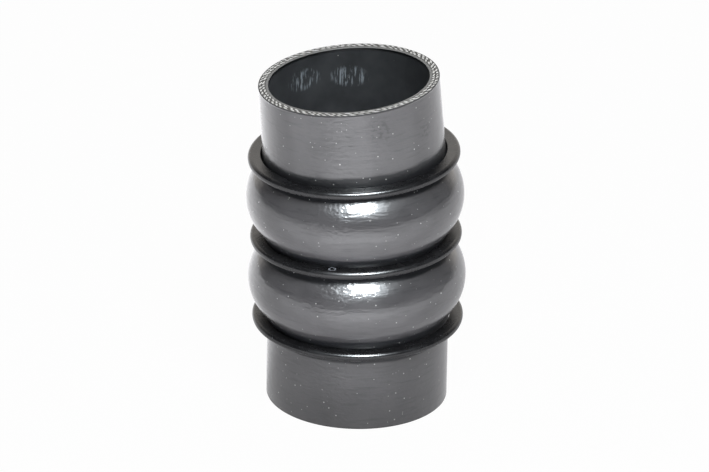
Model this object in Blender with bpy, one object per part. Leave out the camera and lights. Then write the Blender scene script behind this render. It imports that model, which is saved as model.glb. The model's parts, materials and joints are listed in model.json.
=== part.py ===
# Turbo hose: a reinforced silicone charge-air coupling with two rounded convolutions, standing
# on its lower cut end, with a loose support ring in each of its three valleys.
# The hose is turned straight about Z and then leant over; its upper cuff points left of upright.
import math

import bmesh
import bpy
import numpy as np
from mathutils import Euler, Vector

# Hose, in metres
cuff_outer_diameter = 0.0900
wall_thickness = 0.0050
convolution_height = 0.00895
convolution_pitch = 0.0435
neck_rise = 0.0006
valley_root_radius = 0.0091
lower_cuff_length = 0.0421
upper_cuff_length = 0.0395
wall_flare_lead = 0.0030
bore_flare_lead = 0.0054
mouth_draw_in = 0.0005
mouth_draw_length = 0.0300

# Lean of the centre line to the left of upright, in degrees, and how far each bend reaches.
# The lower cuff stands upright, and the line bends at the first and the last valley.
convolution_lean = 2.0
upper_cuff_lean = 4.7
lower_bend_half_length = 0.0150
upper_bend_half_length = 0.0110

# Support rings, in metres: each lies loose round the neck of its valley
ring_width = 0.0065
ring_thickness = 0.0041
ring_bore_clearance = 0.00045
ring_outer_edge_radius = 0.0011
ring_inner_edge_radius = 0.0005
lower_ring_lift = 0.0
middle_ring_lift = 0.0002
upper_ring_lift = -0.0005

# Each ring: its name, lift above the valley's middle, lean to the left and tip to the front
rings = [
    ("lower_support_ring", lower_ring_lift, 0.7, 0.2),
    ("middle_support_ring", middle_ring_lift, 2.0, -0.3),
    ("upper_support_ring", upper_ring_lift, 2.8, -0.1),
]

# Facets
facets_round = 56
crown_facets = 8
root_facets = 3
edge_facets = 3

# Worked out from the sizes above. A crown's convex arc touches the concave root arcs beside it,
# so the centres of the two lie the sum of their radii apart, and the pitch sets that sum.
cuff_radius = cuff_outer_diameter / 2
bore_radius = cuff_radius - wall_thickness
swell_reach = convolution_pitch / 2
neck_drop = convolution_height - neck_rise
touching_arcs = (swell_reach**2 + neck_drop**2) / (2 * neck_drop)
crown_arc_radius = touching_arcs - valley_root_radius
wall_flare_reach = swell_reach + wall_flare_lead
bore_flare_reach = swell_reach + bore_flare_lead
valleys = [lower_cuff_length + i * convolution_pitch for i in range(len(rings))]
crowns = [(low + high) / 2 for low, high in zip(valleys, valleys[1:])]
hose_length = valleys[-1] + upper_cuff_length


def smooth_step(value, start, end):
    """0 before start, 1 after end, and a smooth S between them."""
    t = min(1.0, max(0.0, (value - start) / (end - start)))
    return t * t * (3.0 - 2.0 * t)


def lean_at(station):
    """The centre line's lean to the left, in radians, at a distance along it from the foot."""
    low_start = valleys[0] - lower_bend_half_length
    low_end = valleys[0] + lower_bend_half_length
    high_start = valleys[-1] - upper_bend_half_length
    high_end = valleys[-1] + upper_bend_half_length
    lean = convolution_lean * smooth_step(station, low_start, low_end)
    lean += (upper_cuff_lean - convolution_lean) * smooth_step(station, high_start, high_end)
    return math.radians(lean)


def centre_at(station, step=0.0005):
    """The centre line's point: the lean summed in short steps from the foot."""
    count = max(1, round(station / step))
    length = station / count
    x = z = 0.0
    for i in range(count):
        lean = lean_at((i + 0.5) * length)
        x -= math.sin(lean) * length
        z += math.cos(lean) * length
    return Vector((x, 0.0, z))


def half_swell(crown_radius, reach, drop):
    """One side of a convolution, from its crown down by the drop, at the reach.

    Gives (distance from the crown's middle, height above the cuff) points: equal turns of the
    crown arc, and then of the root arc that it touches.
    """
    total = (reach**2 + drop**2) / (2 * drop)
    root_radius = total - crown_radius
    turn = math.asin(reach / total)
    points = []
    for i in range(crown_facets // 2 + 1):
        angle = turn * i / (crown_facets // 2)
        height = convolution_height - crown_radius * (1.0 - math.cos(angle))
        points.append((crown_radius * math.sin(angle), height))
    for i in range(1, root_facets + 1):
        angle = turn * (1.0 - i / root_facets)
        height = convolution_height - drop + root_radius * (1.0 - math.cos(angle))
        points.append((reach - root_radius * math.sin(angle), height))
    return points


def wall_outline(radius, crown_radius, cuff_reach):
    """One face of the hose wall, foot to mouth, as (radius, station) points.

    The two outermost flanks reach cuff_reach towards the cuffs, and the inner ones meet at the
    neck between the convolutions.
    """
    points = [(radius, 0.0), (radius, (crowns[0] - cuff_reach) / 2)]
    to_cuff = half_swell(crown_radius, cuff_reach, convolution_height)
    to_neck = half_swell(crown_radius, swell_reach, neck_drop)
    for crown in crowns:
        below = to_cuff if crown == crowns[0] else to_neck[:-1]
        above = to_cuff if crown == crowns[-1] else to_neck
        points += [(radius + height, crown - distance) for distance, height in reversed(below)]
        points += [(radius + height, crown + distance) for distance, height in above[1:]]
    draw_length = min(mouth_draw_length, upper_cuff_length - bore_flare_lead)
    for share in (0.0, 0.5, 1.0):
        station = hose_length - draw_length * (1.0 - share)
        points.append((radius - mouth_draw_in * share, station))
    return points


def turned(name, outline):
    """A closed outline of (radius, height) points spun once about Z into a solid."""
    form = bmesh.new()
    corners = [form.verts.new((radius, 0.0, height)) for radius, height in outline]
    edges = [form.edges.new(pair) for pair in zip(corners, corners[1:] + corners[:1])]
    bmesh.ops.spin(
        form,
        geom=corners + edges,
        cent=(0.0, 0.0, 0.0),
        axis=(0.0, 0.0, 1.0),
        angle=math.tau,
        steps=facets_round,
        use_merge=True,
    )
    bmesh.ops.remove_doubles(form, verts=form.verts, dist=1e-7)
    bmesh.ops.recalc_face_normals(form, faces=form.faces)
    mesh = bpy.data.meshes.new(name)
    form.to_mesh(mesh)
    form.free()
    mesh.shade_smooth()
    mesh.set_sharp_from_angle(angle=math.radians(50.0))
    part = bpy.data.objects.new(name, mesh)
    bpy.context.scene.collection.objects.link(part)
    return part


def finish(name, colour, roughness):
    """A plain non-metallic material of one linear colour."""
    material = bpy.data.materials.new(name)
    material.use_nodes = True
    shader = material.node_tree.nodes["Principled BSDF"]
    shader.inputs["Base Color"].default_value = (*colour, 1.0)
    shader.inputs["Roughness"].default_value = roughness
    shader.inputs["Metallic"].default_value = 0.0
    return material


def lean_over(part):
    """Carry a straight hose's sections along the leaning centre line."""
    for vertex in part.data.vertices:
        station = vertex.co.z
        lean = lean_at(station)
        across = Vector((math.cos(lean), 0.0, math.sin(lean)))
        vertex.co = centre_at(station) + across * vertex.co.x + Vector((0.0, vertex.co.y, 0.0))


def hose_body():
    """The moulded hose, satin dark grey: outer face up and bore down, with a constant wall.

    Next to the cuffs both faces open out gently, so that a ring there lies close round the
    flank, and the bore starts a little sooner than the outer wall does.
    """
    outer = wall_outline(cuff_radius, crown_arc_radius, wall_flare_reach)
    bore = wall_outline(bore_radius, crown_arc_radius - wall_thickness, bore_flare_reach)
    part = turned("hose_body", outer + bore[::-1])
    lean_over(part)
    part.data.materials.append(finish("silicone_rubber", (0.045, 0.046, 0.050), 0.38))
    return part


def ring_outline():
    """A flat ring's section, edges rounded, as (radius, height) points about its middle plane.

    The straight part of its bore clears the widest wall that it has in any of the valleys.
    """
    half = ring_thickness / 2
    outer_level = half - ring_outer_edge_radius
    inner_level = half - ring_inner_edge_radius
    wall = wall_outline(cuff_radius, crown_arc_radius, wall_flare_reach)
    middles = [valley + ring[1] for valley, ring in zip(valleys, rings)]
    levels = [middle + side * inner_level for middle in middles for side in (-1, 1)]
    beside = np.interp(levels, [station for _, station in wall], [radius for radius, _ in wall])
    bore = float(beside.max()) + ring_bore_clearance
    outer_edge = bore + ring_width - ring_outer_edge_radius
    inner_edge = bore + ring_inner_edge_radius
    corners = [
        (outer_edge, -outer_level, ring_outer_edge_radius, 270),
        (outer_edge, outer_level, ring_outer_edge_radius, 0),
        (inner_edge, inner_level, ring_inner_edge_radius, 90),
        (inner_edge, -inner_level, ring_inner_edge_radius, 180),
    ]
    points = []
    for radius, height, edge_radius, start in corners:
        for i in range(edge_facets + 1):
            angle = math.radians(start + 90.0 * i / edge_facets)
            along = edge_radius * math.cos(angle)
            points.append((radius + along, height + edge_radius * math.sin(angle)))
    return points


def support_rings():
    """The three rings in glossy black plastic, each about the centre line of its own valley."""
    plastic = finish("ring_plastic", (0.010, 0.010, 0.011), 0.22)
    made = []
    for valley, (name, lift, lean, tip) in zip(valleys, rings):
        part = turned(name, ring_outline())
        part.location = centre_at(valley + lift)
        part.rotation_euler = Euler((math.radians(tip), -math.radians(lean), 0.0))
        part.data.materials.append(plastic)
        made.append(part)
    return made


def centre_on_origin(parts):
    """Shift all parts level, so that the middle of their outline from above is the origin."""
    bpy.context.view_layer.update()
    corners = [part.matrix_world @ vertex.co for part in parts for vertex in part.data.vertices]
    shift = Vector((0.0, 0.0, 0.0))
    for axis in (0, 1):
        reach = [corner[axis] for corner in corners]
        shift[axis] = -(min(reach) + max(reach)) / 2
    for part in parts:
        part.location += shift


for old in list(bpy.data.objects):
    bpy.data.objects.remove(old, do_unlink=True)

centre_on_origin([hose_body()] + support_rings())
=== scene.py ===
import json
import math

import bpy
import numpy as np
from mathutils import Matrix, Vector


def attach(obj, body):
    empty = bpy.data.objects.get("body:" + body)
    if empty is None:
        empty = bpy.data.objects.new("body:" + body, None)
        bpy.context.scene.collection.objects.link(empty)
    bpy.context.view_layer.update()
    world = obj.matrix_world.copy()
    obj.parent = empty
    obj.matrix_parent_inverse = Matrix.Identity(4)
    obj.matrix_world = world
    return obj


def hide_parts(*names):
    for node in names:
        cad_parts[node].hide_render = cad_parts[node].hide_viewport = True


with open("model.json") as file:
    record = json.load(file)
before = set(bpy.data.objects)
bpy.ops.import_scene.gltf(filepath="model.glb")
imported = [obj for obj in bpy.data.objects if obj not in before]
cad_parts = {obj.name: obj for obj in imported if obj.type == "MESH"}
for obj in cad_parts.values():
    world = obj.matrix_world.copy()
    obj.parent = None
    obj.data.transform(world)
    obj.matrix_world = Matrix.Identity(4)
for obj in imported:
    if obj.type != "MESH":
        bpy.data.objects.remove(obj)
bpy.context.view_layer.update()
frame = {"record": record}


# Camera
# A long lens some three metres off, looking down on the hose at the photograph's angle, with
# the slight roll of a hand-held shot. Its distance and angle were fitted to both cut ends.
def place_camera(target, distance, elevation, roll, focal_pixels, image_width):
    """Looks along +Y and down at the target: back = (0, -cos e, sin e), turned by the roll."""
    lens = bpy.data.cameras.new("camera")
    lens.sensor_width = 36.0
    lens.lens = lens.sensor_width * focal_pixels / image_width
    lens.clip_start = 0.1
    lens.clip_end = 20.0
    e, r = math.radians(elevation), math.radians(roll)
    back = Vector((0.0, -math.cos(e), math.sin(e)))
    level_up = Vector((0.0, math.sin(e), math.cos(e)))
    right = Vector((math.cos(r), level_up.y * math.sin(r), level_up.z * math.sin(r)))
    up = Vector((-math.sin(r), level_up.y * math.cos(r), level_up.z * math.cos(r)))
    turn = Matrix((right, up, back)).transposed().to_4x4()
    camera = bpy.data.objects.new("camera", lens)
    camera.matrix_world = Matrix.Translation(Vector(target) + back * distance) @ turn
    bpy.context.scene.collection.objects.link(camera)
    bpy.context.scene.camera = camera


hose_foot_x = frame["record"]["mounts"][0]["pos_m"][0]
place_camera(
    target=(hose_foot_x - 0.0022313, 0.0, 0.084017),
    distance=3.3,
    elevation=24.7786,
    roll=0.9310,
    focal_pixels=6684.745,
    image_width=709,
)


# Hose body, its shape
# One piece of black-grey silicone rubber with polyester plies in it, laid up and wrapped on a
# mandrel and cured. The wall is 5 mm all the way and swells out into two rounded convolutions.
cuff_radius = 0.0450
wall_thickness = 0.0050
convolution_height = 0.00895
convolution_pitch = 0.0435
neck_rise = 0.0006
valley_root_radius = 0.0091
lower_cuff_length = 0.0421
upper_cuff_length = 0.0395
wall_flare_lead = 0.0030
bore_flare_lead = 0.0054
mouth_draw_in = 0.0005
mouth_draw_length = 0.0300
convolution_lean = 2.0
upper_cuff_lean = 4.7
lower_bend_half_length = 0.0150
upper_bend_half_length = 0.0110
valleys = lower_cuff_length + convolution_pitch * np.arange(3)
crowns = (valleys[:-1] + valleys[1:]) / 2
hose_length = valleys[-1] + upper_cuff_length
swell_reach = convolution_pitch / 2
neck_drop = convolution_height - neck_rise
touching_arcs = (swell_reach**2 + neck_drop**2) / (2 * neck_drop)
crown_arc_radius = touching_arcs - valley_root_radius
wall_flare_reach = swell_reach + wall_flare_lead
bore_flare_reach = swell_reach + bore_flare_lead


def smooth_step(value, start, end):
    """0 before start and 1 after end, with 3t^2 - 2t^3 between."""
    t = np.clip((value - start) / (end - start), 0.0, 1.0)
    return t * t * (3.0 - 2.0 * t)


def lean_at(station):
    """The centre line's lean to the left in radians: a smooth step up at each outer valley."""
    low_bend = valleys[0] + np.array((-lower_bend_half_length, lower_bend_half_length))
    high_bend = valleys[-1] + np.array((-upper_bend_half_length, upper_bend_half_length))
    lean = convolution_lean * smooth_step(station, *low_bend)
    lean = lean + (upper_cuff_lean - convolution_lean) * smooth_step(station, *high_bend)
    return np.radians(lean)


# The leaning centre line, summed in short steps from the foot
line_points = 1401
line_stations = np.linspace(0.0, hose_length, line_points)
line_lean = lean_at((line_stations[1:] + line_stations[:-1]) / 2)
line_step = line_stations[1]
line_x = np.concatenate(([0.0], np.cumsum(-np.sin(line_lean) * line_step)))
line_z = np.concatenate(([0.0], np.cumsum(np.cos(line_lean) * line_step)))


def lean_over(radius, station, angle):
    """Sections of a straight hose carried on its leaning centre line.

    A point is the line's own, plus r cos(angle) along the tilted section and r sin(angle) along Y.
    """
    tilt = lean_at(station)
    across = radius * np.cos(angle)
    x = hose_foot_x + np.interp(station, line_stations, line_x) + across * np.cos(tilt)
    z = np.interp(station, line_stations, line_z) + across * np.sin(tilt)
    return np.stack(np.broadcast_arrays(x, radius * np.sin(angle), z), axis=-1)


def swell_at(distance, crown_radius, reach, drop):
    """A convolution's height at a distance from its crown's middle.

    The convex crown arc falls away and touches the concave root arc, whose radius is what is
    left of the two arcs' sum. The root ends at the reach, where the surface has gone down the drop.
    """
    total = (reach**2 + drop**2) / (2 * drop)
    root_radius = total - crown_radius
    turn_end = crown_radius * reach / total
    fallen = crown_radius - np.sqrt(np.maximum(crown_radius**2 - distance**2, 0.0))
    left = np.clip(reach - distance, 0.0, root_radius)
    on_root = root_radius - np.sqrt(root_radius**2 - left**2)
    return convolution_height - np.where(distance < turn_end, fallen, drop - on_root)


def wall_radius(station, base_radius, crown_radius, cuff_reach):
    """One face of the hose wall: the cuffs' radius, the nearer swell, and the drawn-in mouth.

    The two outermost flanks reach cuff_reach towards the cuffs, and the inner ones meet at the
    neck between the convolutions.
    """
    nearer = np.where(station < valleys[1], crowns[0], crowns[1])
    offset = station - nearer
    outermost = np.where(station < valleys[1], offset < 0.0, offset > 0.0)
    reach = np.where(outermost, cuff_reach, swell_reach)
    drop = np.where(outermost, convolution_height, neck_drop)
    distance = np.minimum(np.abs(offset), reach)
    drawn = np.clip((station - hose_length) / mouth_draw_length + 1.0, 0.0, 1.0)
    return base_radius + swell_at(distance, crown_radius, reach, drop) - mouth_draw_in * drawn


def wave_sum(angle, station, seed, count, turns, lengths):
    """A gentle unevenness, mostly between -1 and 1, from sine waves that close round the hose.

    Each wave is sin(n angle + 2 pi station / length + phase), with n a whole number of turns,
    and their sum is divided by twice the square root of their count.
    """
    draw = np.random.default_rng(seed)
    total = np.zeros(np.broadcast_shapes(angle.shape, station.shape))
    for _ in range(count):
        n = draw.integers(turns[0], turns[1] + 1) * draw.choice((-1, 1))
        length = draw.uniform(*lengths)
        phase = draw.uniform(0.0, 2.0 * np.pi)
        total = total + np.sin(n * angle + 2.0 * np.pi * station / length + phase)
    return total / np.sqrt(count) / 2.0


def grid_faces(first, rows, columns):
    """The quads between the rows of a grid that closes on itself all round."""
    row = np.arange(rows - 1)[:, None] * columns + first
    here = np.arange(columns)[None, :]
    after = (here + 1) % columns
    above = row + columns
    quads = np.stack((row + here, row + after, above + after, above + here), axis=-1)
    return quads.reshape(-1, 4)


def make_mesh(name, vertices, faces, smooth=True):
    """A mesh object at the origin from arrays of points and faces."""
    mesh = bpy.data.meshes.new(name)
    mesh.from_pydata(vertices.tolist(), [], faces)
    mesh.validate()
    mesh.polygons.foreach_set("use_smooth", np.full(len(mesh.polygons), smooth))
    mesh.update()
    piece = bpy.data.objects.new(name, mesh)
    bpy.context.scene.collection.objects.link(piece)
    return piece


# The hose's grid: steps round it, how many finer steps the cut mouth has in each, and rows
around = 240
mouth_split = 4
outer_rows = 170
bore_rows = 96
cut_rows = 25
foot_rows = 7
cut_edge_radius = 0.00035

# The band in each valley that is kept smooth and painted with shade under and above its ring: how
# far above its middle it ends, over what fade, and between which two distances below the middle it
# ends there
valley_band_tops = np.array((0.0088, 0.0096, 0.0084))
valley_band_top_fade = 0.0042
valley_band_foot_start = 0.0050
valley_band_foot_end = 0.0078

# Outer face, foot to mouth, with the faint unevenness that the wrapping tape leaves, except in
# the valleys, where the tape never pressed the rubber and it stays smooth under the rings
tape_mark_depth = 0.00005
slow_mark_depth = 0.00012
angle = np.arange(around) * 2.0 * np.pi / around
outer_station = np.linspace(cut_edge_radius, hose_length - cut_edge_radius, outer_rows)
above = outer_station[:, None] - valleys[None, :]
upper_fade = 1.0 - smooth_step(above, valley_band_tops - valley_band_top_fade, valley_band_tops)
lower_fade = 1.0 - smooth_step(-above, valley_band_foot_start, valley_band_foot_end)
in_valley = (upper_fade * lower_fade).max(axis=1)
outer_level = wall_radius(outer_station, cuff_radius, crown_arc_radius, wall_flare_reach)
tape_marks = wave_sum(
    angle[None, :],
    outer_station[:, None],
    seed=3,
    count=9,
    turns=(0, 3),
    lengths=(0.0045, 0.0130),
)
slow_marks = wave_sum(
    angle[None, :],
    outer_station[:, None],
    seed=8,
    count=8,
    turns=(2, 9),
    lengths=(0.0200, 0.0600),
)
outer_relief = np.clip(0.5 + 0.5 * tape_marks, 0.0, 1.0) * tape_mark_depth
outer_relief = outer_relief + np.clip(0.5 + 0.5 * slow_marks, 0.0, 1.0) * slow_mark_depth
outer_relief = outer_relief * (1.0 - in_valley[:, None])
outer_points = lean_over(
    outer_level[:, None] - outer_relief, outer_station[:, None], angle[None, :]
)

# Cut mouth: the knife leaves the plies' yarn ends standing, with the rubber sunk between them
mouth_around = around * mouth_split
mouth_angle = np.arange(mouth_around) * 2.0 * np.pi / mouth_around
cut_share = np.linspace(0.0, 1.0, cut_rows)
mouth_outer = cuff_radius - mouth_draw_in
ply_shares = (0.24, 0.55)
ply_half_width = 0.15
yarn_count = 76
rubber_sink = 0.00034
yarn_rise = 0.00030
broken_edge_depth = 0.0003
broken_edge_share = 0.06


def yarn_ends(share, angle):
    """Height of the yarn ends on the cut: slanted tufts in two rows, one for each ply.

    A row is 1 - off^2 high, where off is the distance from its middle in half widths, and a
    tuft is the upper part of sin(yarns x angle + slant x share), pushed about by slower waves.
    """
    height = np.zeros(np.broadcast_shapes(share.shape, angle.shape))
    for row, ply in enumerate(ply_shares):
        wander = 0.022 * np.sin(5.0 * angle + 2.1 * row) + 0.014 * np.sin(13.0 * angle + row)
        off = (share - ply - wander) / ply_half_width
        slant = yarn_count * angle + 13.0 * share + 1.3 * np.sin(7.0 * angle + row)
        slant = slant + 0.8 * np.sin(23.0 * angle + 2.0 * row)
        tuft = np.clip(0.38 + 0.85 * np.sin(slant), 0.0, 1.0)
        height = np.maximum(height, np.clip(1.0 - off**2, 0.0, 1.0) * tuft)
    return height


cut_height = yarn_ends(cut_share[:, None], mouth_angle[None, :])
cut_depth = rubber_sink - yarn_rise * cut_height
from_edge = np.minimum(cut_share, 1.0 - cut_share)[:, None]
rounding = (1.0 - np.clip(from_edge / broken_edge_share, 0.0, 1.0)) ** 2
cut_depth = cut_depth + broken_edge_depth * rounding
cut_points = lean_over(
    (mouth_outer - wall_thickness * cut_share)[:, None],
    hose_length - cut_depth,
    mouth_angle[None, :],
)

# Bore, mouth to foot, with a slow unevenness from the mandrel
mouth_edge_drop = 0.0006
bore_mark_depth = 0.00012
bore_station = np.linspace(hose_length - mouth_edge_drop, cut_edge_radius, bore_rows)
bore_level = wall_radius(
    bore_station,
    cuff_radius - wall_thickness,
    crown_arc_radius - wall_thickness,
    bore_flare_reach,
)
bore_marks = wave_sum(
    angle[None, :],
    bore_station[:, None],
    seed=5,
    count=8,
    turns=(1, 6),
    lengths=(0.0100, 0.0500),
)
bore_relief = np.clip(0.5 + 0.5 * bore_marks, 0.0, 1.0) * bore_mark_depth
bore_points = lean_over(bore_level[:, None] + bore_relief, bore_station[:, None], angle[None, :])

# Foot, bore to outer face
foot_edge_share = 0.02
foot_share = np.linspace(foot_edge_share, 1.0 - foot_edge_share, foot_rows)
foot_points = lean_over(
    (cuff_radius - wall_thickness * (1.0 - foot_share))[:, None],
    np.zeros((foot_rows, 1)),
    angle[None, :],
)

sheets = [outer_points, cut_points, bore_points, foot_points]
starts = np.cumsum([0] + [sheet.shape[0] * sheet.shape[1] for sheet in sheets])
hose_points = np.concatenate([sheet.reshape(-1, 3) for sheet in sheets])
hose_faces = grid_faces(starts[0], outer_rows, around).tolist()
outer_face_count = len(hose_faces)


def fan_faces(coarse_row, fine_row, outward):
    """Joins a coarse row to a fine one: each coarse edge to the fine edges beside it."""
    here = np.arange(around)
    after = (here + 1) % around
    fine = (here[:, None] * mouth_split + np.arange(mouth_split + 1)[None, :]) % mouth_around
    corners = [coarse_row + here, coarse_row + after]
    corners += [fine_row + fine[:, i] for i in range(mouth_split, -1, -1)]
    faces = np.stack(corners, axis=-1)
    return faces if outward else faces[:, ::-1]


last_outer = starts[0] + (outer_rows - 1) * around
last_cut = starts[1] + (cut_rows - 1) * mouth_around
hose_faces += fan_faces(last_outer, starts[1], True).tolist()
hose_faces += grid_faces(starts[1], cut_rows, mouth_around).tolist()
cut_face_count = len(hose_faces)
hose_faces += fan_faces(starts[2], last_cut, False).tolist()
hose_faces += grid_faces(starts[2], bore_rows, around).tolist()
bore_face_count = len(hose_faces)


def strip_faces(low_row, high_row):
    """The quads between two rows with the hose's own steps, each given by its first vertex."""
    here = np.arange(around)
    after = (here + 1) % around
    return np.stack((low_row + here, low_row + after, high_row + after, high_row + here), axis=-1)


last_bore = starts[2] + (bore_rows - 1) * around
last_foot = starts[3] + (foot_rows - 1) * around
hose_faces += strip_faces(last_bore, starts[3]).tolist()
hose_faces += grid_faces(starts[3], foot_rows, around).tolist()
hose_faces += strip_faces(last_foot, starts[0]).tolist()
hose = make_mesh("hose", hose_points, hose_faces)

# Attributes for the materials: the share across the wall, 0 at its outer edge, how high a yarn end
# stands on the cut, and where the painted shade of the valleys is
wall_share = np.concatenate(
    [
        np.zeros(outer_points.shape[0] * around),
        np.repeat(cut_share, mouth_around),
        np.ones(bore_points.shape[0] * around),
        np.repeat(1.0 - foot_share, around),
    ]
)
yarn_share = np.zeros(len(hose_points))
yarn_share[starts[1] : starts[2]] = cut_height.ravel()
valley_share = np.zeros(len(hose_points))
valley_share[: starts[1]] = np.repeat(in_valley, around)
attributes = (("wall_share", wall_share), ("yarn", yarn_share), ("valley", valley_share))
for name, values in attributes:
    layer = hose.data.attributes.new(name, "FLOAT", "POINT")
    layer.data.foreach_set("value", values.astype(np.float32))


# Hose body, its outer face
# Silicone rubber cured under wrapped tape: satin, dark grey, with faint level streaks from the
# tape, an orange-peel skin some 1.5 mm across that breaks up highlights, and specks of dust.
def linear(hex_colour):
    """An sRGB hex colour turned to the linear RGBA that shaders take."""
    value = np.array([int(hex_colour[i : i + 2], 16) for i in (1, 3, 5)]) / 255.0
    low = value / 12.92
    high = ((value + 0.055) / 1.055) ** 2.4
    return (*np.where(value <= 0.04045, low, high).tolist(), 1.0)


def add(material, kind, settings=None, links=None):
    """Adds one node with its settings, a ramp's stops, its values and the sockets that feed it."""
    node = material.node_tree.nodes.new(kind)
    for key, value in (settings or {}).items():
        if key == "stops":
            ramp = node.color_ramp
            while len(ramp.elements) < len(value):
                ramp.elements.new(1.0)
            for element, (position, colour) in zip(ramp.elements, value):
                element.position = position
                element.color = colour
        elif isinstance(key, str) and hasattr(node, key) and key not in node.inputs:
            setattr(node, key, value)
        else:
            node.inputs[key].default_value = value
    for key, source in (links or {}).items():
        material.node_tree.links.new(source, node.inputs[key])
    return node


def new_material(name):
    """An empty node material and its Principled shader."""
    material = bpy.data.materials.new(name)
    material.use_nodes = True
    return material, material.node_tree.nodes["Principled BSDF"]


dust_colour = linear("#b9bab8")
rubber, shader = new_material("silicone_rubber_tape_cured")
place = add(rubber, "ShaderNodeTexCoord").outputs["Object"]
flat = add(rubber, "ShaderNodeMapping", {"Scale": (0.12, 0.12, 1.0)}, {"Vector": place})
streaks = add(
    rubber,
    "ShaderNodeTexNoise",
    {"Scale": 1 / 0.0016, "Detail": 3.0, "Roughness": 0.6},
    {"Vector": flat.outputs["Vector"]},
)
clouds = add(
    rubber,
    "ShaderNodeTexNoise",
    {"Scale": 1 / 0.022, "Detail": 4.0, "Roughness": 0.55},
    {"Vector": place},
)
flattish = add(rubber, "ShaderNodeMapping", {"Scale": (0.6, 0.6, 1.0)}, {"Vector": place})
peel = add(
    rubber,
    "ShaderNodeTexNoise",
    {"Scale": 1 / 0.0015, "Detail": 2.0, "Roughness": 0.5},
    {"Vector": flattish.outputs["Vector"]},
)
cloud_colour = add(
    rubber,
    "ShaderNodeValToRGB",
    {"stops": [(0.30, linear("#4a494b")), (0.70, linear("#565557"))]},
    {"Fac": clouds.outputs["Fac"]},
)
streak_share = add(
    rubber,
    "ShaderNodeMapRange",
    {"From Min": 0.54, "From Max": 0.70, "To Min": 0.0, "To Max": 0.45},
    {"Value": streaks.outputs["Fac"]},
)
streaked = add(
    rubber,
    "ShaderNodeMix",
    {"data_type": "RGBA", 7: linear("#39393b")},
    {0: streak_share.outputs["Result"], 6: cloud_colour.outputs["Color"]},
)


def specks(material, place, cell, size, chosen):
    """Dust: in a share of the cells of a Voronoi pattern, a round spot about its own point."""
    cells = add(material, "ShaderNodeTexVoronoi", {"Scale": 1.0 / cell}, {"Vector": place})
    spot = add(
        material,
        "ShaderNodeMapRange",
        {"From Min": size / cell, "From Max": size / cell * 0.5, "To Min": 0.0, "To Max": 1.0},
        {"Value": cells.outputs["Distance"]},
    )
    pick = add(material, "ShaderNodeSeparateColor", {}, {"Color": cells.outputs["Color"]})
    keep = add(
        material,
        "ShaderNodeMath",
        {"operation": "GREATER_THAN", 1: 1.0 - chosen},
        {0: pick.outputs["Red"]},
    )
    both = add(
        material,
        "ShaderNodeMath",
        {"operation": "MULTIPLY"},
        {0: spot.outputs["Result"], 1: keep.outputs["Value"]},
    )
    return both.outputs["Value"]


# Two darker places on the upper cuff, right of the middle, streaked in one and mottled in the
# other, each given by its middle and its reach
dark_places = (((0.0110, -0.0430, 0.1598), 0.0085), ((0.0329, -0.0261, 0.1531), 0.0060))
dark_place_masks = []
for spot, reach in dark_places:
    from_spot = add(rubber, "ShaderNodeVectorMath", {"operation": "DISTANCE", 1: spot}, {0: place})
    near_spot = add(
        rubber,
        "ShaderNodeMapRange",
        {"From Min": reach, "From Max": 0.4 * reach, "To Min": 0.0, "To Max": 1.0},
        {"Value": from_spot.outputs["Value"]},
    )
    dark_place_masks.append(near_spot.outputs["Result"])
dark_place = add(rubber, "ShaderNodeMath", {"operation": "MAXIMUM"}, {0: dark_place_masks[0], 1: dark_place_masks[1]})
dark_flecks = add(
    rubber,
    "ShaderNodeMapRange",
    {"From Min": 0.50, "From Max": 0.62, "To Min": 0.0, "To Max": 0.65},
    {"Value": peel.outputs["Fac"]},
)
dark_place_share = add(
    rubber,
    "ShaderNodeMath",
    {"operation": "MULTIPLY"},
    {0: dark_place.outputs["Value"], 1: dark_flecks.outputs["Result"]},
)
darkened = add(
    rubber,
    "ShaderNodeMix",
    {"data_type": "RGBA", 7: linear("#2f2e31")},
    {0: dark_place_share.outputs["Value"], 6: streaked.outputs[2]},
)

# Painted shade in the valleys, under and above each ring: a dark colour with a mottled edge, and
# hardly any gloss there
valley_level = add(rubber, "ShaderNodeAttribute", {"attribute_name": "valley"}).outputs["Fac"]
mottled = add(
    rubber,
    "ShaderNodeMath",
    {"operation": "MULTIPLY_ADD", 1: 0.9, 2: -0.45},
    {0: streaks.outputs["Fac"]},
)
valley_edge = add(
    rubber, "ShaderNodeMath", {"operation": "ADD"}, {0: valley_level, 1: mottled.outputs["Value"]}
)
valley_range = add(
    rubber,
    "ShaderNodeMapRange",
    {"From Min": 0.30, "From Max": 0.72, "To Min": 0.0, "To Max": 1.0},
    {"Value": valley_edge.outputs["Value"]},
)
valley = valley_range.outputs["Result"]
# Painted shade: the valley band is darkened to #26272a
shaded = add(
    rubber,
    "ShaderNodeMix",
    {"data_type": "RGBA", 7: linear("#26272a")},
    {0: valley, 6: darkened.outputs[2]},
)

coarse_dust = specks(rubber, place, cell=0.0036, size=0.00042, chosen=0.34)
fine_dust = specks(rubber, place, cell=0.0025, size=0.00028, chosen=0.30)
dust = add(rubber, "ShaderNodeMath", {"operation": "MAXIMUM"}, {0: coarse_dust, 1: fine_dust})
dusty = add(
    rubber,
    "ShaderNodeMix",
    {"data_type": "RGBA", 7: dust_colour},
    {0: dust.outputs["Value"], 6: shaded.outputs[2]},
)
valley_coat = add(
    rubber,
    "ShaderNodeMapRange",
    {"From Min": 0.0, "From Max": 1.0, "To Min": 1.0, "To Max": 0.15},
    {"Value": valley},
)
rubber.node_tree.links.new(valley_coat.outputs["Result"], shader.inputs["Coat Weight"])
rubber.node_tree.links.new(dusty.outputs[2], shader.inputs["Base Color"])
gloss = add(
    rubber,
    "ShaderNodeMapRange",
    {"From Min": 0.3, "From Max": 0.7, "To Min": 0.30, "To Max": 0.42},
    {"Value": clouds.outputs["Fac"]},
)
rubber.node_tree.links.new(gloss.outputs["Result"], shader.inputs["Roughness"])
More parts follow.
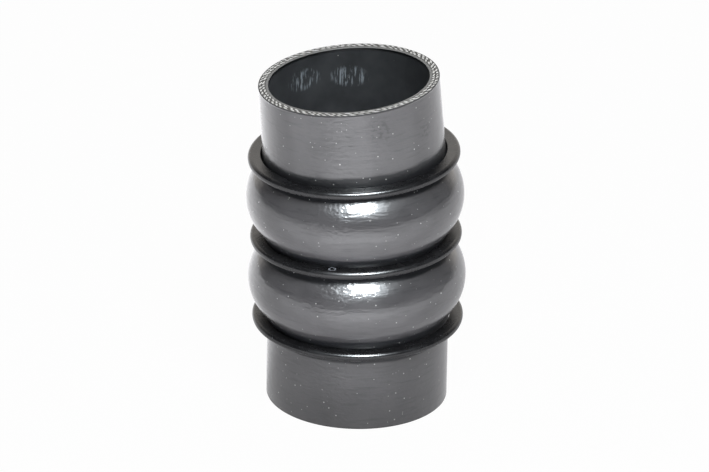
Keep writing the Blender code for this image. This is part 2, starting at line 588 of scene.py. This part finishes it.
streak_bump = add(
    rubber,
    "ShaderNodeBump",
    {"Strength": 1.0, "Distance": 0.000150},
    {"Height": streaks.outputs["Fac"]},
)

# The peel is strongest left of the middle, where it breaks the highlights' edge
rough_middle_x = -0.0135
across = add(rubber, "ShaderNodeSeparateXYZ", {}, {"Vector": place})
from_rough = add(
    rubber,
    "ShaderNodeMath",
    {"operation": "SUBTRACT", 1: rough_middle_x},
    {0: across.outputs["X"]},
)
rough_reach = add(
    rubber, "ShaderNodeMath", {"operation": "ABSOLUTE"}, {0: from_rough.outputs["Value"]}
)
peel_share = add(
    rubber,
    "ShaderNodeMapRange",
    {
        "interpolation_type": "SMOOTHSTEP",
        "From Min": 0.0070,
        "From Max": 0.0150,
        "To Min": 1.0,
        "To Max": 0.38,
    },
    {"Value": rough_reach.outputs["Value"]},
)
peel_bump = add(
    rubber,
    "ShaderNodeBump",
    {"Distance": 0.000270},
    {
        "Strength": peel_share.outputs["Result"],
        "Height": peel.outputs["Fac"],
        "Normal": streak_bump.outputs["Normal"],
    },
)
rubber.node_tree.links.new(peel_bump.outputs["Normal"], shader.inputs["Normal"])
rubber.node_tree.links.new(peel_bump.outputs["Normal"], shader.inputs["Coat Normal"])
shader.inputs["IOR"].default_value = 1.46
shader.inputs["Coat Roughness"].default_value = 0.06
shader.inputs["Coat IOR"].default_value = 1.62

# Hose body, its bore
# The liner of the same rubber, smooth from the mandrel and a cooler grey, with pale scuffs that
# run lengthways where a pipe was pushed in, and specks of dust.
liner, shader = new_material("silicone_liner")
place = add(liner, "ShaderNodeTexCoord").outputs["Object"]
clouds = add(
    liner,
    "ShaderNodeTexNoise",
    {"Scale": 1 / 0.018, "Detail": 4.0, "Roughness": 0.6},
    {"Vector": place},
)
liner_colour = add(
    liner,
    "ShaderNodeValToRGB",
    {"stops": [(0.30, linear("#3b3d40")), (0.70, linear("#505356"))]},
    {"Fac": clouds.outputs["Fac"]},
)
long_way = add(liner, "ShaderNodeMapping", {"Scale": (1.0, 1.0, 0.13)}, {"Vector": place})
scuffs = add(
    liner,
    "ShaderNodeTexNoise",
    {"Scale": 1 / 0.0010, "Detail": 3.0, "Roughness": 0.6},
    {"Vector": long_way.outputs["Vector"]},
)
scuff_share = add(
    liner,
    "ShaderNodeMapRange",
    {"From Min": 0.50, "From Max": 0.60, "To Min": 0.0, "To Max": 1.0},
    {"Value": scuffs.outputs["Fac"]},
)

# The pipe's edge rubbed in two places on the side away from the camera, each wider than high
patch_squash = 1.7
rubbed_places = ((-0.0275, 0.0322, 0.1537), (-0.0045, 0.0396, 0.1528))
stretched = add(liner, "ShaderNodeMapping", {"Scale": (1.0, 1.0, patch_squash)}, {"Vector": place})
rubbed = []
for x, y, z in rubbed_places:
    from_spot = add(
        liner,
        "ShaderNodeVectorMath",
        {"operation": "DISTANCE", 1: (x, y, z * patch_squash)},
        {0: stretched.outputs["Vector"]},
    )
    near_spot = add(
        liner,
        "ShaderNodeMapRange",
        {"From Min": 0.0105, "From Max": 0.0065, "To Min": 0.0, "To Max": 1.0},
        {"Value": from_spot.outputs["Value"]},
    )
    rubbed.append(near_spot.outputs["Result"])
scuff_patch = add(
    liner, "ShaderNodeMath", {"operation": "MAXIMUM"}, {0: rubbed[0], 1: rubbed[1]}
)
scuffed = add(
    liner,
    "ShaderNodeMath",
    {"operation": "MULTIPLY"},
    {0: scuff_share.outputs["Result"], 1: scuff_patch.outputs["Value"]},
)
scuff_colour = add(
    liner,
    "ShaderNodeMix",
    {"data_type": "RGBA", 7: linear("#a6b0b8")},
    {0: scuffed.outputs["Value"], 6: liner_colour.outputs["Color"]},
)
dust = specks(liner, place, cell=0.0046, size=0.00042, chosen=0.24)
dusty = add(
    liner,
    "ShaderNodeMix",
    {"data_type": "RGBA", 7: dust_colour},
    {0: dust, 6: scuff_colour.outputs[2]},
)
liner.node_tree.links.new(dusty.outputs[2], shader.inputs["Base Color"])
liner_bump = add(
    liner,
    "ShaderNodeBump",
    {"Strength": 1.0, "Distance": 0.00003},
    {"Height": scuffs.outputs["Fac"]},
)
liner.node_tree.links.new(liner_bump.outputs["Normal"], shader.inputs["Normal"])
shader.inputs["Roughness"].default_value = 0.34
shader.inputs["IOR"].default_value = 1.48

# Hose body, its cut ends
# A knife cut through the wall: thin dark rubber outside, two rows of pale polyester yarn ends
# in grey rubber with a dark line between them, and the lighter grey liner inside.
cut, shader = new_material("knife_cut_rubber_and_yarn")
share = add(cut, "ShaderNodeAttribute", {"attribute_name": "wall_share"}).outputs["Fac"]
yarn = add(cut, "ShaderNodeAttribute", {"attribute_name": "yarn"}).outputs["Fac"]
place = add(cut, "ShaderNodeTexCoord").outputs["Object"]
layers = add(
    cut,
    "ShaderNodeValToRGB",
    {
        "stops": [
            (0.00, linear("#3e3e3f")),
            (0.07, linear("#505051")),
            (0.24, linear("#6b6a66")),
            (0.40, linear("#2e2e2f")),
            (0.55, linear("#7c7b76")),
            (0.70, linear("#4a4a4a")),
            (0.80, linear("#8d8d8b")),
            (1.00, linear("#7d7e7e")),
        ]
    },
    {"Fac": share},
)
grain = add(
    cut,
    "ShaderNodeTexNoise",
    {"Scale": 1 / 0.0005, "Detail": 3.0, "Roughness": 0.6},
    {"Vector": place},
)
tuft_colour = add(
    cut,
    "ShaderNodeValToRGB",
    {"stops": [(0.30, linear("#d9d7d1")), (0.70, linear("#ffffff"))]},
    {"Fac": grain.outputs["Fac"]},
)
tuft_mask = add(
    cut,
    "ShaderNodeMapRange",
    {"From Min": 0.15, "From Max": 0.50, "To Min": 0.0, "To Max": 1.0},
    {"Value": yarn},
)
cut_colour = add(
    cut,
    "ShaderNodeMix",
    {"data_type": "RGBA"},
    {0: tuft_mask.outputs["Result"], 6: layers.outputs["Color"], 7: tuft_colour.outputs["Color"]},
)
cut.node_tree.links.new(cut_colour.outputs[2], shader.inputs["Base Color"])
cut_bump = add(
    cut,
    "ShaderNodeBump",
    {"Strength": 1.0, "Distance": 0.00006},
    {"Height": grain.outputs["Fac"]},
)
cut.node_tree.links.new(cut_bump.outputs["Normal"], shader.inputs["Normal"])
shader.inputs["Roughness"].default_value = 0.55
shader.inputs["IOR"].default_value = 1.48

# The outer face takes the first material, both cuts the second and the bore the third
for material in (rubber, cut, liner):
    hose.data.materials.append(material)
slots = np.zeros(len(hose.data.polygons), np.int32)
slots[outer_face_count:cut_face_count] = 1
slots[cut_face_count:bore_face_count] = 2
slots[bore_face_count:] = 1
hose.data.polygons.foreach_set("material_index", slots)
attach(hose, "root")
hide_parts("hose_body")


# Support rings
# Three loose flat rings of moulded black plastic, one in each valley, that keep the hose from
# ballooning under pressure. Nothing fixes them: they only lie there, each leaning a little.
ring_width = 0.0065
ring_thickness = 0.0041
# The real rings touch the soft rubber, so these press up to 0.2 mm into it where they lean,
# while the solids keep clear of it by about 0.45 mm
ring_bore_clearance = -0.00010
# The real outer edge is rounder than the solids' 1.1 mm
ring_outer_edge_radius = 0.0019
ring_inner_edge_radius = 0.0005
groove_depth = 0.000030
groove_pitch = 0.00062
ring_around = 288
flat_rows = 40
outer_corner_rows = 10
inner_corner_rows = 6
ring_lifts = (0.0, 0.0002, -0.0005)
inner_level = ring_thickness / 2 - ring_inner_edge_radius
beside_rings = (valleys + ring_lifts)[:, None] + np.array((-inner_level, inner_level))
wall_beside_rings = wall_radius(beside_rings, cuff_radius, crown_arc_radius, wall_flare_reach)
ring_bore = float(wall_beside_rings.max()) + ring_bore_clearance


def rounded_corner(radius, height, edge, start, rows):
    """A quarter turn of the edge radius about (radius, height), from the start angle on."""
    turn = np.radians(start + 90.0 * np.linspace(0.0, 1.0, rows))
    return np.stack((radius + edge * np.cos(turn), height + edge * np.sin(turn)), axis=-1)


def ring_section():
    """A flat ring's section: wide rounding outside, a small one inside, and faint face grooves.

    A groove's depth is half of 1 - cos(2 pi x distance / pitch), across both faces.
    """
    outer_edge = ring_bore + ring_width - ring_outer_edge_radius
    inner_edge = ring_bore + ring_inner_edge_radius
    half = ring_thickness / 2
    flats = np.linspace(outer_edge, inner_edge, flat_rows + 2)[1:-1]
    swing = 0.5 - 0.5 * np.cos(2.0 * np.pi * (flats - inner_edge) / groove_pitch)
    groove = groove_depth * swing
    top = np.stack((flats, half - groove), axis=-1)
    bottom = np.stack((flats[::-1], -half + groove[::-1]), axis=-1)
    outer_level = half - ring_outer_edge_radius
    round_edge = ring_outer_edge_radius
    small_edge = ring_inner_edge_radius
    return np.concatenate(
        (
            rounded_corner(outer_edge, -outer_level, round_edge, 270, outer_corner_rows),
            rounded_corner(outer_edge, outer_level, round_edge, 0, outer_corner_rows),
            top,
            rounded_corner(inner_edge, inner_level, small_edge, 90, inner_corner_rows),
            rounded_corner(inner_edge, -inner_level, small_edge, 180, inner_corner_rows),
            bottom,
        )
    )


def ring_piece(name, station, lean, tip):
    """The section turned about the ring's axis, tipped, leant and set on the hose's centre line.

    A point is turned about X by the tip, then about Y by the lean, and moved to its place.
    """
    section = ring_section()
    turn = np.arange(ring_around) * 2.0 * np.pi / ring_around
    x = section[:, :1] * np.cos(turn)
    y = section[:, :1] * np.sin(turn)
    z = np.repeat(section[:, 1:], ring_around, axis=1)
    points = np.stack((x, y, z), axis=-1).reshape(-1, 3)
    a, b = math.radians(tip), math.radians(-lean)
    about_x = np.array(((1, 0, 0), (0, math.cos(a), -math.sin(a)), (0, math.sin(a), math.cos(a))))
    about_y = np.array(((math.cos(b), 0, math.sin(b)), (0, 1, 0), (-math.sin(b), 0, math.cos(b))))
    points = points @ (about_y @ about_x).T
    centre_x = hose_foot_x + np.interp(station, line_stations, line_x)
    points += (centre_x, 0.0, np.interp(station, line_stations, line_z))
    rows = len(section)
    first = np.arange(rows)[:, None] * ring_around
    next_row = np.roll(np.arange(rows), -1)[:, None] * ring_around
    here = np.arange(ring_around)[None, :]
    after = (here + 1) % ring_around
    faces = np.stack((first + here, first + after, next_row + after, next_row + here), axis=-1)
    piece = make_mesh(name, points, faces.reshape(-1, 4).tolist())
    layer = piece.data.attributes.new("turned_radius", "FLOAT", "POINT")
    layer.data.foreach_set("value", np.repeat(section[:, 0], ring_around).astype(np.float32))
    return piece


# Moulded black plastic: near black and glossy, with fine lines round its faces and some dust
plastic, shader = new_material("moulded_black_plastic")
place = add(plastic, "ShaderNodeTexCoord").outputs["Object"]
turned = add(plastic, "ShaderNodeAttribute", {"attribute_name": "turned_radius"}).outputs["Fac"]
lines = add(
    plastic,
    "ShaderNodeTexNoise",
    {"noise_dimensions": "1D", "Scale": 1 / 0.00045, "Detail": 2.0, "Roughness": 0.6},
    {"W": turned},
)
clouds = add(
    plastic,
    "ShaderNodeTexNoise",
    {"Scale": 1 / 0.009, "Detail": 4.0, "Roughness": 0.6},
    {"Vector": place},
)
plastic_colour = add(
    plastic,
    "ShaderNodeValToRGB",
    {"stops": [(0.30, linear("#151517")), (0.70, linear("#222224"))]},
    {"Fac": clouds.outputs["Fac"]},
)
dust = specks(plastic, place, cell=0.0040, size=0.00036, chosen=0.20)

# A pale curl on the middle ring: the places at one small distance from its middle
curl_middle = (-0.0113, -0.0467, 0.0877)
curl_radius = 0.0016
curl_half_width = 0.00030
from_curl = add(
    plastic, "ShaderNodeVectorMath", {"operation": "DISTANCE", 1: curl_middle}, {0: place}
)
curl = add(
    plastic,
    "ShaderNodeMath",
    {"operation": "COMPARE", 1: curl_radius, 2: curl_half_width},
    {0: from_curl.outputs["Value"]},
)
marks = add(
    plastic, "ShaderNodeMath", {"operation": "MAXIMUM"}, {0: dust, 1: curl.outputs["Value"]}
)
dusty = add(
    plastic,
    "ShaderNodeMix",
    {"data_type": "RGBA", 7: linear("#a9aeb6")},
    {0: marks.outputs["Value"], 6: plastic_colour.outputs["Color"]},
)
plastic.node_tree.links.new(dusty.outputs[2], shader.inputs["Base Color"])
line_bump = add(
    plastic,
    "ShaderNodeBump",
    {"Strength": 1.0, "Distance": 0.000012},
    {"Height": lines.outputs["Fac"]},
)
plastic.node_tree.links.new(line_bump.outputs["Normal"], shader.inputs["Normal"])
ring_gloss = add(
    plastic,
    "ShaderNodeMapRange",
    {"From Min": 0.3, "From Max": 0.7, "To Min": 0.22, "To Max": 0.32},
    {"Value": clouds.outputs["Fac"]},
)
plastic.node_tree.links.new(ring_gloss.outputs["Result"], shader.inputs["Roughness"])
shader.inputs["IOR"].default_value = 1.60

# Each ring: its name, the solid that it stands for, its lean to the left and its tip to the front
ring_places = (
    ("lower_ring", "lower_support_ring", 0.7, 0.2),
    ("middle_ring", "middle_support_ring", 2.0, -0.3),
    ("upper_ring", "upper_support_ring", 2.8, -0.1),
)
for station, (name, node, lean, tip) in zip(valleys + ring_lifts, ring_places):
    ring = ring_piece(name, station, lean, tip)
    ring.data.materials.append(plastic)
    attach(ring, "root")
    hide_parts(node)


# Floor, room and lamps
# White paper under the hose and up behind it, a dark room towards the camera, and a window-like
# soft box above the camera and a little to its right, as the reflections show them.
def floor_disc(radius, rows, steps):
    """A flat disc at height 0: rings of points that grow as the square, closed at the middle."""
    turn = np.arange(steps) * 2.0 * np.pi / steps
    reach = radius * np.linspace(1.0 / rows, 1.0, rows) ** 2
    ring = np.stack((np.cos(turn), np.sin(turn), np.zeros(steps)), axis=-1)
    points = (reach[:, None, None] * ring).reshape(-1, 3)
    faces = grid_faces(0, rows, steps)[:, ::-1].tolist()
    faces.append(list(range(steps)))
    return make_mesh("floor", points, faces, smooth=False)


floor = floor_disc(radius=3.0, rows=16, steps=96)

# White paper, uncoated and dull. To the camera it is burnt out to white, but for a faint shadow
paper, shader = new_material("white_paper")
shader.inputs["Base Color"].default_value = linear("#e8e8e8")
shader.inputs["Roughness"].default_value = 0.9
shader.inputs["Specular IOR Level"].default_value = 0.0
path = add(paper, "ShaderNodeLightPath")
white = add(paper, "ShaderNodeEmission", {"Color": (1.0, 1.0, 1.0, 1.0), "Strength": 1.0})
veil = add(
    paper,
    "ShaderNodeMath",
    {"operation": "MULTIPLY", 1: 0.97},
    {0: path.outputs["Is Camera Ray"]},
)
to_camera = add(
    paper,
    "ShaderNodeMixShader",
    {},
    {0: veil.outputs["Value"], 1: shader.outputs["BSDF"], 2: white.outputs["Emission"]},
)

# In reflections the paper glows: dimmer close round the hose, which shades it, and brighter at
# the back on the left, where more light falls on it
paper_place = add(paper, "ShaderNodeTexCoord").outputs["Object"]
from_hose = add(paper, "ShaderNodeVectorMath", {"operation": "LENGTH"}, {0: paper_place})
lit = add(
    paper,
    "ShaderNodeMapRange",
    {
        "interpolation_type": "SMOOTHSTEP",
        "From Min": 0.05,
        "From Max": 0.30,
        "To Min": 0.62,
        "To Max": 0.86,
    },
    {"Value": from_hose.outputs["Value"]},
)
way_out = add(paper, "ShaderNodeVectorMath", {"operation": "NORMALIZE"}, {0: paper_place})
to_back_left = (-0.5, 0.87, 0.0)
back_left = add(
    paper,
    "ShaderNodeVectorMath",
    {"operation": "DOT_PRODUCT", 1: to_back_left},
    {0: way_out.outputs["Vector"]},
)
brighter = add(
    paper,
    "ShaderNodeMapRange",
    {"From Min": 0.6, "From Max": 0.98, "To Min": 1.0, "To Max": 1.6},
    {"Value": back_left.outputs["Value"]},
)
glow = add(
    paper,
    "ShaderNodeMath",
    {"operation": "MULTIPLY"},
    {0: lit.outputs["Result"], 1: brighter.outputs["Result"]},
)
sheen = add(
    paper,
    "ShaderNodeEmission",
    {"Color": (0.98, 0.98, 1.0, 1.0)},
    {"Strength": glow.outputs["Value"]},
)
paper_face = add(
    paper,
    "ShaderNodeMixShader",
    {},
    {
        0: path.outputs["Is Glossy Ray"],
        1: to_camera.outputs["Shader"],
        2: sheen.outputs["Emission"],
    },
)
paper_output = paper.node_tree.nodes["Material Output"]
paper.node_tree.links.new(paper_face.outputs["Shader"], paper_output.inputs["Surface"])
floor.data.materials.append(paper)

# The paper's white sweep behind, ending some 30 to 44 degrees up, and a dark room in front and
# overhead; the camera itself sees plain white
world = bpy.data.worlds.new("room")
bpy.context.scene.world = world
world.use_nodes = True
background = world.node_tree.nodes["Background"]
outwards = add(world, "ShaderNodeTexCoord").outputs["Generated"]
ways = add(world, "ShaderNodeSeparateXYZ", {}, {"Vector": outwards})
behind = add(
    world,
    "ShaderNodeMapRange",
    {"From Min": 0.50, "From Max": 0.80, "To Min": 0.0, "To Max": 1.0},
    {"Value": ways.outputs["Y"]},
)
low = add(
    world,
    "ShaderNodeMapRange",
    {"From Min": 0.70, "From Max": 0.48, "To Min": 0.0, "To Max": 1.0},
    {"Value": ways.outputs["Z"]},
)
sweep_share = add(
    world,
    "ShaderNodeMath",
    {"operation": "MULTIPLY"},
    {0: behind.outputs["Result"], 1: low.outputs["Result"]},
)
room = add(
    world,
    "ShaderNodeMix",
    {"data_type": "RGBA", 6: linear("#3f4042"), 7: linear("#fffaf4")},
    {0: sweep_share.outputs["Value"]},
)
seen = add(world, "ShaderNodeLightPath").outputs["Is Camera Ray"]
shown = add(
    world,
    "ShaderNodeMix",
    {"data_type": "RGBA", 7: (1.0, 1.0, 1.0, 1.0)},
    {0: seen, 6: room.outputs[2]},
)
world.node_tree.links.new(shown.outputs[2], background.inputs["Color"])
background.inputs["Strength"].default_value = 1.0


def area_lamp(name, width, height, radiance, colour, shown):
    """A rectangular lamp that the camera doesn't see, with power = pi x area x radiance."""
    lamp = bpy.data.lights.new(name, "AREA")
    lamp.shape = "RECTANGLE"
    lamp.size = width
    lamp.size_y = height
    lamp.energy = math.pi * width * height * radiance
    lamp.color = colour
    item = bpy.data.objects.new(name, lamp)
    item.visible_camera = False
    item.visible_glossy = shown
    bpy.context.scene.collection.objects.link(item)
    return item


white_light = (1.0, 1.0, 1.0)
hose_middle = Vector((0.0, 0.0, 0.09))


def soft_box(name, azimuth, elevation, distance, size, radiance, colour=white_light, shown=True):
    """An area lamp aimed at the hose's middle from a way round it and up.

    Its way is (sin a cos e, -cos a cos e, sin e), so 0 is the camera's side and 90 the right.
    """
    item = area_lamp(name, *size, radiance, colour, shown)
    a, e = math.radians(azimuth), math.radians(elevation)
    way = Vector((math.sin(a) * math.cos(e), -math.cos(a) * math.cos(e), math.sin(e)))
    item.location = hose_middle + way * distance
    item.rotation_euler = way.to_track_quat("Z", "Y").to_euler()
    return item


def floor_card(name, x_range, y_range, height, radiance, shown=True):
    """An area lamp lying face up on the paper between those bounds."""
    size = (x_range[1] - x_range[0], y_range[1] - y_range[0])
    item = area_lamp(name, *size, radiance, colour=(0.95, 0.96, 1.0), shown=shown)
    item.location = (sum(x_range) / 2, sum(y_range) / 2, height)
    item.rotation_euler = (math.pi, 0.0, 0.0)


# The window and the dim glow round it only make highlights; the key lights the rubber for them
window = soft_box(
    "window",
    azimuth=8.0,
    elevation=50.0,
    distance=1.5,
    size=(0.54, 0.54),
    radiance=95.0,
    colour=(0.90, 0.96, 1.0),
)
window.visible_diffuse = False
window_glow = soft_box(
    "glow_round_window",
    azimuth=6.0,
    elevation=46.0,
    distance=1.52,
    size=(1.25, 0.80),
    radiance=2.4,
    colour=(0.86, 0.94, 1.0),
)
window_glow.visible_diffuse = False
soft_box(
    "key",
    azimuth=11.0,
    elevation=51.0,
    distance=1.5,
    size=(0.70, 0.50),
    radiance=13.2,
    colour=(0.97, 0.99, 1.0),
    shown=False,
)

# Light thrown up by the paper: three cards show in the gloss, and the near one only lights
floor_card("front_card", (-0.8, 0.8), (-0.95, -0.085), height=0.002, radiance=0.34)
floor_card("front_middle_card", (-0.13, 0.17), (-0.31, -0.16), height=0.004, radiance=0.92)
floor_card("front_far_card", (-0.13, 0.17), (-0.80, -0.31), height=0.004, radiance=0.68)
floor_card("near_card", (-0.30, 0.15), (-0.40, -0.11), height=0.006, radiance=2.2, shown=False)

# Light from the rest of the room, which lights the rubber and makes no highlight
soft_box(
    "left_fill",
    azimuth=-75.0,
    elevation=35.0,
    distance=1.6,
    size=(1.2, 1.2),
    radiance=0.38,
    shown=False,
)
soft_box(
    "right_fill",
    azimuth=75.0,
    elevation=35.0,
    distance=1.6,
    size=(1.2, 1.2),
    radiance=0.20,
    shown=False,
)
soft_box(
    "back_fill",
    azimuth=180.0,
    elevation=50.0,
    distance=1.8,
    size=(1.6, 1.2),
    radiance=0.9,
    shown=False,
)

# The picture's values are shown as they are
scene = bpy.context.scene
scene.view_settings.view_transform = "Standard"
